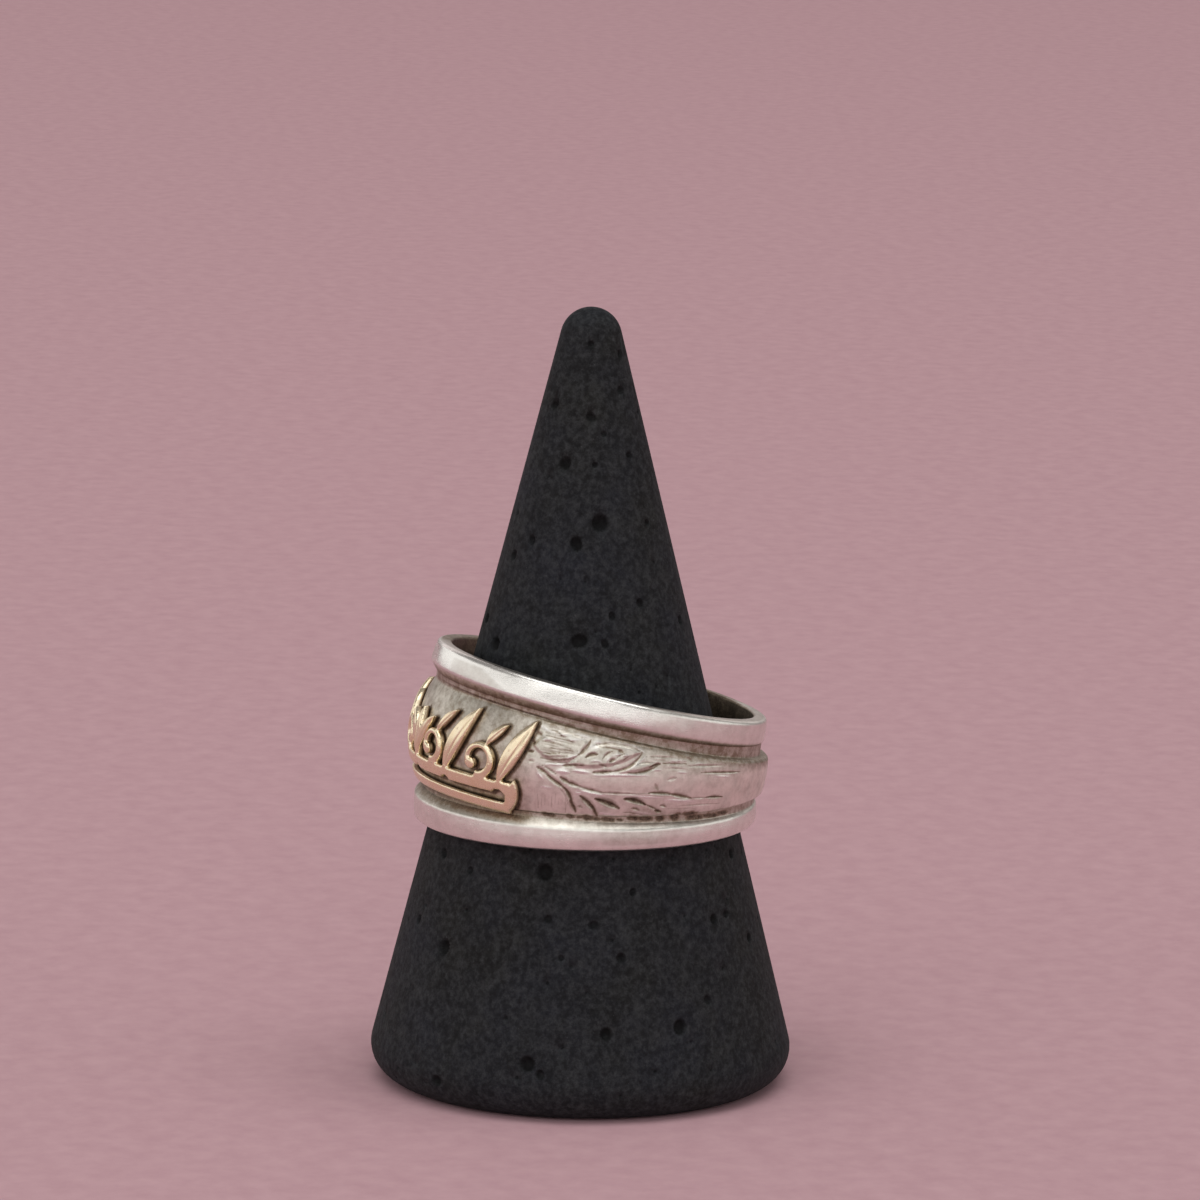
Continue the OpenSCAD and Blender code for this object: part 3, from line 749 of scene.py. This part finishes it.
def cone_stand():
    """The cone's skin: a plain wall with real pits, triangulated unrolled. Its seam faces the back."""
    profile = cone_profile()
    run = np.concatenate([[0], np.cumsum(np.hypot(*np.diff(profile, axis=0).T))])
    rng = np.random.default_rng(PIT_SEED)
    view = math.atan2(-math.cos(VIEW_AZIMUTH), math.sin(VIEW_AZIMUTH))
    seam_at = view + math.pi
    pits, tiny = scattered(rng, view, profile, run)
    kept, owners, placed = pit_points(rng, ((pits, PIT_RINGS), (tiny, TINY_RINGS)), seam_at, profile, run)
    spots = np.array(placed)
    for i, v in enumerate(run):
        for j in range(WALL_COLUMNS + 1):
            azimuth = TAU * j / WALL_COLUMNS
            close = np.hypot((spots[:, 0] - azimuth) * spots[:, 3], spots[:, 1] - v) < 1.3 * spots[:, 2]
            if j in (0, WALL_COLUMNS) or i in (0, len(run) - 1) or not close.any():
                kept.append((azimuth * UNROLLED, v))
                owners.append((-1, 0.0))
    flat = delaunay_2d_cdt([Vector(p) for p in kept], [], [], 0, 1e-6)
    uv = np.array([tuple(p) for p in flat[0]])
    azimuth, v = uv[:, 0] / UNROLLED, uv[:, 1]
    radius = np.interp(v, run, profile[:, 0])
    height = np.interp(v, run, profile[:, 1])
    slope = np.gradient(profile, run, axis=0)
    nr, nz = np.interp(v, run, slope[:, 1]), -np.interp(v, run, slope[:, 0])
    sink, dark = np.zeros(len(uv)), np.zeros(len(uv))
    for i, sources in enumerate(flat[3]):
        k, share = owners[sources[0]]
        if k >= 0:
            size = placed[k][2]
            sink[i] = PIT_DEPTH * size * math.sqrt(max(0.0, 1 - share * share)) if share < 1 else 0.0
            # Painted shade in each pit, full inside and half at its rim, deeper for larger pits
            shadow = 1.0 if share < 0.95 else (0.5 if share < 1.1 else 0.0)
            dark[i] = min(1.0, 0.25 + size / 0.6) * shadow
    radius = radius - sink * nr
    height = height - sink * nz
    verts = np.stack([radius * np.cos(azimuth + seam_at), radius * np.sin(azimuth + seam_at), height], 1)
    # close the seam, the tip and the foot
    seam = {}
    remap = np.arange(len(uv))
    for i in np.nonzero(np.abs(azimuth) < 1e-6)[0]:
        seam[round(float(v[i]), 4)] = i
    for i in np.nonzero(np.abs(azimuth - TAU) < 1e-6)[0]:
        remap[i] = seam[round(float(v[i]), 4)]
    faces = [tuple(int(remap[i]) for i in f) for f in flat[2]]
    verts = [tuple(p) for p in verts]
    dark = list(dark)
    for level, z, foot in ((0.0, profile[0, 1], True), (run[-1], CONE_H, False)):
        ring = [int(i) for i in np.nonzero((np.abs(v - level) < 1e-6) & (azimuth < TAU - 1e-6))[0]]
        ring.sort(key=lambda i: azimuth[i])
        verts.append((0.0, 0.0, z))
        dark.append(0.0)
        centre = len(verts) - 1
        for j, i in enumerate(ring):
            following = ring[(j + 1) % len(ring)]
            faces.append((centre, following, i) if foot else (centre, i, following))
    used = sorted({i for f in faces for i in f})
    index = {old: new for new, old in enumerate(used)}
    faces = [tuple(index[i] for i in f) for f in faces]
    verts = np.array([verts[i] for i in used]) * MM
    return mesh_object("cone", verts, faces, "cone_stand", {"dark": [dark[i] for i in used]})


# Materials

# Silver: ramps of its satin and burnished faces, and the colours of its tarnish and painted shade
SATIN = (0.30, (0.69, 0.70, 0.62)), (0.50, (0.83, 0.81, 0.73)), (0.72, (0.94, 0.91, 0.83))
BURNISHED = (0.25, (0.84, 0.83, 0.79)), (0.75, (0.93, 0.92, 0.88))
TARNISH_AND_SHADE, SOOT_AND_DEEP_SHADE = (0.28, 0.225, 0.165), (0.056, 0.040, 0.030)
# Gold: the ramp of its clean faces, and the brown of its grime and painted shade
CLEAN_GOLD, GOLD_GRIME_AND_SHADE = ((0.3, (0.93, 0.78, 0.53)), (0.75, (0.99, 0.88, 0.66))), (0.16, 0.075, 0.03)
# Stone: the ramp of its base, its bluish clouds, pale mottling and grains, its dark pores and the painted
# shade in its pits
BLACK_STONE = (0.32, (0.0064, 0.0072, 0.0072)), (0.52, (0.013, 0.014, 0.0138)), (0.70, (0.024, 0.026, 0.025))
BLUE_CLOUD, PALE_MOTTLE, PALE_GRAIN = (0.017, 0.020, 0.030), (0.060, 0.065, 0.069), (0.12, 0.125, 0.13)
DARK_MOTTLE, PORE_AND_PIT_SHADE = (0.0035, 0.0035, 0.0038), (0.003, 0.003, 0.003)
FLOOR = (0.3, (0.555, 0.342, 0.38)), (0.7, (0.615, 0.392, 0.43))


class Nodes:
    """A short way to write a node material."""

    def __init__(self, name):
        self.material = bpy.data.materials.new(name)
        self.material.use_nodes = True
        self.tree = self.material.node_tree
        self.shader = self.tree.nodes["Principled BSDF"]
        self.place = self.tree.nodes.new("ShaderNodeTexCoord").outputs["Object"]

    def new(self, kind, **values):
        node = self.tree.nodes.new("ShaderNode" + kind)
        for key, value in values.items():
            setattr(node, key, value)
        return node

    def link(self, source, target):
        self.tree.links.new(source, target)

    def attribute(self, name):
        return self.new("Attribute", attribute_name=name).outputs["Fac"]

    def stretched(self, scale):
        node = self.new("Mapping")
        node.inputs["Scale"].default_value = scale
        self.link(self.place, node.inputs["Vector"])
        return node.outputs["Vector"]

    def noise(self, size, detail=4.0, rough=0.55, vector=None, distortion=0.0):
        """Noise whose lumps are about this many mm."""
        node = self.new("TexNoise")
        node.inputs["Scale"].default_value = 1 / (size * MM)
        node.inputs["Detail"].default_value = detail
        node.inputs["Roughness"].default_value = rough
        node.inputs["Distortion"].default_value = distortion
        self.link(vector or self.place, node.inputs["Vector"])
        return node.outputs["Fac"]

    def cells(self, size):
        """Distance from the middle of scattered cells about this many mm wide."""
        node = self.new("TexVoronoi")
        node.inputs["Scale"].default_value = 1 / (size * MM)
        self.link(self.place, node.inputs["Vector"])
        return node.outputs["Distance"]

    def ramp(self, source, *stops):
        """Stops are (position, value or colour)."""
        node = self.new("ValToRGB")
        ramp = node.color_ramp
        while len(ramp.elements) < len(stops):
            ramp.elements.new(0.5)
        for element, (position, value) in zip(ramp.elements, stops):
            element.position = position
            element.color = (*value, 1) if isinstance(value, tuple) else (value, value, value, 1)
        self.link(source, node.inputs["Fac"])
        return node.outputs["Color"]

    def math(self, operation, a, b):
        """The result is kept between 0 and 1."""
        node = self.new("Math", operation=operation)
        for socket, value in zip(node.inputs, (a, b)):
            if isinstance(value, (int, float)):
                socket.default_value = value
            else:
                self.link(value, socket)
        node.use_clamp = True
        return node.outputs["Value"]

    def mix(self, share, a, b):
        node = self.new("Mix", data_type="RGBA", blend_type="MIX")
        sockets = [s for s in node.inputs if s.name == "Factor" and s.type == "VALUE"][:1]
        sockets += [s for s in node.inputs if s.name in "AB" and s.type == "RGBA"]
        for socket, value in zip(sockets, (share, a, b)):
            if isinstance(value, (int, float)):
                socket.default_value = value if socket.type == "VALUE" else (value, value, value, 1)
            elif isinstance(value, tuple):
                socket.default_value = (*value, 1)
            else:
                self.link(value, socket)
        return [s for s in node.outputs if s.type == "RGBA"][0]

    def bump(self, height, distance, strength, normal=None):
        node = self.new("Bump")
        if isinstance(strength, (int, float)):
            node.inputs["Strength"].default_value = strength
        else:
            self.link(strength, node.inputs["Strength"])
        node.inputs["Distance"].default_value = distance * MM
        self.link(height, node.inputs["Height"])
        if normal:
            self.link(normal, node.inputs["Normal"])
        return node.outputs["Normal"]

    def set(self, name, value):
        if isinstance(value, (int, float)):
            self.shader.inputs[name].default_value = value
        else:
            self.link(value, self.shader.inputs[name])


def silver_material():
    """Satin where it is carved, burnished where polish is 1, and brown to black where dark is 1: dark holds
    tarnish and painted shade, polish also painted highlights.
    """
    m = Nodes("aged_and_shaded_silver")
    dark, polish = m.attribute("dark"), m.attribute("polish")
    cloud = m.noise(1.3, 5.0, 0.6)
    blotch = m.noise(0.45, 4.0, 0.6)
    fine = m.noise(0.10, 6.0, 0.65)
    scratch = m.noise(0.5, 4.0, 0.6, vector=m.stretched((1.0, 1.0, 14.0)))
    grain = m.math("ADD", m.math("MULTIPLY", fine, 0.9), m.math("MULTIPLY", blotch, 0.8))
    # This mask follows dark, which holds tarnish and painted shade
    grime_and_shade = m.math("ADD", m.math("MULTIPLY", dark, 0.15), m.math("MULTIPLY", grain, dark))
    base = m.mix(m.ramp(polish, (0.25, 0.0), (0.85, 1.0)), m.ramp(cloud, *SATIN), m.ramp(cloud, *BURNISHED))
    stain = m.mix(polish, m.ramp(blotch, (0.42, 0.0), (0.68, 0.34)), 0.0)
    base = m.mix(m.math("ADD", m.ramp(grime_and_shade, (0.08, 0.0), (0.68, 1.0)), stain), base, TARNISH_AND_SHADE)
    m.set("Base Color", m.mix(m.ramp(grime_and_shade, (0.66, 0.0), (1.0, 0.92)), base, SOOT_AND_DEEP_SHADE))
    m.set("Metallic", 1.0)
    satin_rough = m.ramp(scratch, (0.2, 0.34), (0.8, 0.50))
    rough = m.mix(polish, satin_rough, m.ramp(scratch, (0.3, 0.20), (0.85, 0.35)))
    m.set("Roughness", m.mix(dark, rough, m.ramp(fine, (0.2, 0.42), (0.8, 0.62))))
    worn = m.bump(scratch, 0.02, 0.25)
    facets = m.bump(m.noise(2.4, 1.0, 0.4), 0.30, 0.35, worn)
    uneven = m.bump(blotch, 0.05, m.ramp(polish, (0.35, 0.22), (0.85, 0.09)), facets)
    m.set("Normal", m.bump(fine, 0.012, m.ramp(polish, (0.35, 0.35), (0.85, 0.12)), uneven))
    return m.material


def gold_material():
    """Soft cast gold with a few small dents, browner where dark is 1, which is painted shade."""
    m = Nodes("cast_gold")
    dark = m.attribute("dark")
    cloud = m.noise(0.6, 4.0, 0.6)
    fine = m.noise(0.08, 5.0, 0.6)
    pits = m.ramp(m.cells(0.42), (0.10, 1.0), (0.17, 0.0))
    # Painted shade from dark, with grime in some of the dents
    grime_and_shade = m.math("MAXIMUM", dark, m.math("MULTIPLY", pits, m.ramp(cloud, (0.5, 0.0), (0.7, 0.9))))
    clean = m.ramp(cloud, *CLEAN_GOLD)
    m.set("Base Color", m.mix(m.ramp(grime_and_shade, (0.2, 0.0), (0.95, 0.9)), clean, GOLD_GRIME_AND_SHADE))
    m.set("Metallic", 1.0)
    m.set("Roughness", m.mix(grime_and_shade, m.ramp(fine, (0.2, 0.22), (0.8, 0.36)), 0.6))
    dents = m.bump(pits, 0.03, 0.5)
    m.set("Normal", m.bump(fine, 0.010, 0.25, dents))
    return m.material


def stone_material():
    """Matt dark stone, cloudy and mottled, with pale grains, dark pores and painted shade in its pits."""
    m = Nodes("pitted_stone")
    dark = m.attribute("dark")
    cloud = m.noise(6.0, 5.0, 0.6)
    patch = m.noise(1.3, 6.0, 0.7, distortion=0.4)
    mottle = m.noise(0.42, 5.0, 0.75)
    grain = m.noise(0.16, 5.0, 0.7)
    speck = m.ramp(m.cells(0.34), (0.05, 1.0), (0.16, 0.0))
    base = m.mix(m.ramp(cloud, (0.35, 0.0), (0.7, 0.6)), m.ramp(patch, *BLACK_STONE), BLUE_CLOUD)
    base = m.mix(m.ramp(mottle, (0.46, 0.0), (0.74, 0.65)), base, PALE_MOTTLE)
    base = m.mix(m.ramp(mottle, (0.30, 0.8), (0.48, 0.0)), base, DARK_MOTTLE)
    pale = m.math("MULTIPLY", speck, m.ramp(grain, (0.50, 0.0), (0.72, 0.6)))
    base = m.mix(pale, base, PALE_GRAIN)
    base = m.mix(m.ramp(grain, (0.25, 0.55), (0.5, 0.0)), base, PORE_AND_PIT_SHADE)
    # Painted shade in the pits, in the pores' colour
    m.set("Base Color", m.mix(m.math("MULTIPLY", dark, 0.75), base, PORE_AND_PIT_SHADE))
    m.set("Roughness", m.ramp(grain, (0.2, 0.72), (0.8, 0.92)))
    m.set("Specular IOR Level", 0.2)
    rough = m.bump(patch, 0.12, 0.3)
    m.set("Normal", m.bump(grain, 0.05, 0.5, rough))
    return m.material


def floor_material():
    m = Nodes("pale_floor")
    m.set("Base Color", m.ramp(m.noise(2.0, 4.0, 0.6), *FLOOR))
    m.set("Roughness", 0.95)
    m.set("Specular IOR Level", 0.1)
    return m.material


# The scene

# Lights: name, azimuth and elevation from the camera's side, distance and size in metres, power, colour
LIGHTS = [
    ("left", -94, 15, 1.5, (3.6, 0.74), 6.4, (1.0, 0.985, 0.965)),
    ("key", 20, 82, 2.2, (2.6, 1.4), 21.0, (1.0, 0.985, 0.97)),
    ("soft", -15, 36, 1.8, (2.4, 0.8), 7.0, (1.0, 0.99, 0.98)),
    ("front", 0, 9, 1.6, (2.9, 0.44), 3.8, (1.0, 0.985, 0.97)),
    ("back", 180, 22, 1.9, (2.6, 0.8), 4.0, (1.0, 0.88, 0.87)),
    ("right", 82, 16, 1.6, (2.8, 0.84), 5.0, (1.0, 0.99, 0.97)),
]
LIGHT_AIM_Z, FLOOR_HALF = 0.022, 3.0
WORLD_COLOUR, WORLD_STRENGTH = (0.86, 0.80, 0.78, 1), 0.28


def add_camera():
    right, up, back, place = camera_axes()
    data = bpy.data.cameras.new("camera")
    data.lens, data.sensor_width = VIEW_LENS, 36
    data.clip_start, data.clip_end = 0.01, 20
    cam = bpy.data.objects.new("camera", data)
    matrix = Matrix.Identity(4)
    for k, axis in enumerate((right, up, back)):
        for j in range(3):
            matrix[j][k] = axis[j]
    matrix.translation = Vector(place * MM)
    cam.matrix_world = matrix
    bpy.context.scene.collection.objects.link(cam)
    bpy.context.scene.camera = cam


def add_area(name, azimuth, elevation, distance, size, power, colour):
    """A soft panel at these angles from the camera's side of the object, in metres."""
    a, e = VIEW_AZIMUTH + math.radians(azimuth), math.radians(elevation)
    away = Vector((math.sin(a) * math.cos(e), -math.cos(a) * math.cos(e), math.sin(e)))
    data = bpy.data.lights.new(name, "AREA")
    data.shape, data.size, data.size_y = "RECTANGLE", size[0], size[1]
    data.energy, data.color = power, colour
    lamp = bpy.data.objects.new(name, data)
    lamp.location = Vector((0, 0, LIGHT_AIM_Z)) + away * distance
    lamp.rotation_mode = "QUATERNION"
    lamp.rotation_quaternion = away.to_track_quat("Z", "Y")
    bpy.context.scene.collection.objects.link(lamp)


def add_floor(material):
    half = FLOOR_HALF
    corners = [(-half, -half, 0), (half, -half, 0), (half, half, 0), (-half, half, 0)]
    mesh = bpy.data.meshes.new("floor")
    mesh.from_pydata(corners, [], [(0, 1, 2, 3)])
    floor = bpy.data.objects.new("floor", mesh)
    bpy.context.scene.collection.objects.link(floor)
    floor.data.materials.append(material)


add_camera()
scroll, footprint = gold_scroll()
for piece, material in (
    (silver_band(footprint), silver_material()),
    (scroll, gold_material()),
    (cone_stand(), stone_material()),
):
    piece.data.materials.clear()
    piece.data.materials.append(material)
add_floor(floor_material())
for light in LIGHTS:
    add_area(*light)
world = bpy.data.worlds.new("world")
world.use_nodes = True
world.node_tree.nodes["Background"].inputs["Color"].default_value = WORLD_COLOUR
world.node_tree.nodes["Background"].inputs["Strength"].default_value = WORLD_STRENGTH
bpy.context.scene.world = world
bpy.context.scene.view_settings.view_transform = "Standard"
